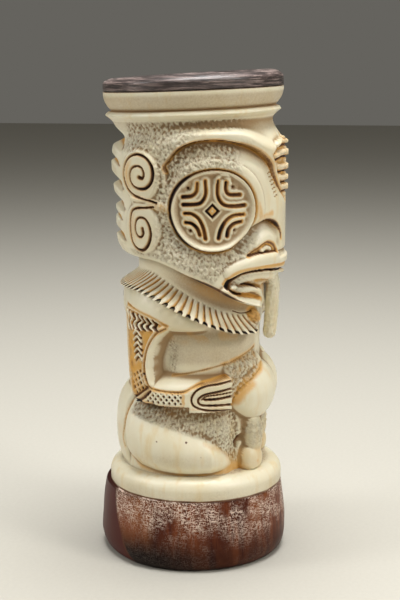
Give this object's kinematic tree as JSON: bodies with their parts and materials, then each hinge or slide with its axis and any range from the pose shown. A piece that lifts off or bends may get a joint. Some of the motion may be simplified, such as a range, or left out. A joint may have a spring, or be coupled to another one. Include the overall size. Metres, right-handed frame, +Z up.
{
  "type": "tiki mug",
  "caption": "Tall drinking mug carved as a squatting figure with spiral eyes, a ruff and a hanging tongue, with a wooden foot, a dark rim ring and a metal liner.",
  "frame": {"origin": "centre of the underside, where the mug stands on the table", "axes": "+Z up through the middle of the mug, -Y the way that the figure faces, +X to the figure's right seen from the front"},
  "size_m": [0.0746, 0.0746, 0.1903],
  "materials": {
    "base_wood": "glossy red-brown wood with pale flecks",
    "carved_ivory": "bone-coloured, satin, with amber and brown stain rubbed into the cuts",
    "rim_wood": "dark polished wood, grain running round",
    "liner_steel": "brushed inside, turned marks running round",
    "felt": "dark green pressed felt",
    "screw_brass": "plain brass, slotted head"
  },
  "bodies": {
    "root": {"wooden_base": "base_wood", "carved_figure": "carved_ivory", "tongue": "carved_ivory", "rim_ring": "rim_wood", "cup_liner": "liner_steel", "felt_pad": "felt", "base_screw_1": "screw_brass", "base_screw_2": "screw_brass", "base_screw_3": "screw_brass"}
  },
  "joints": []
}
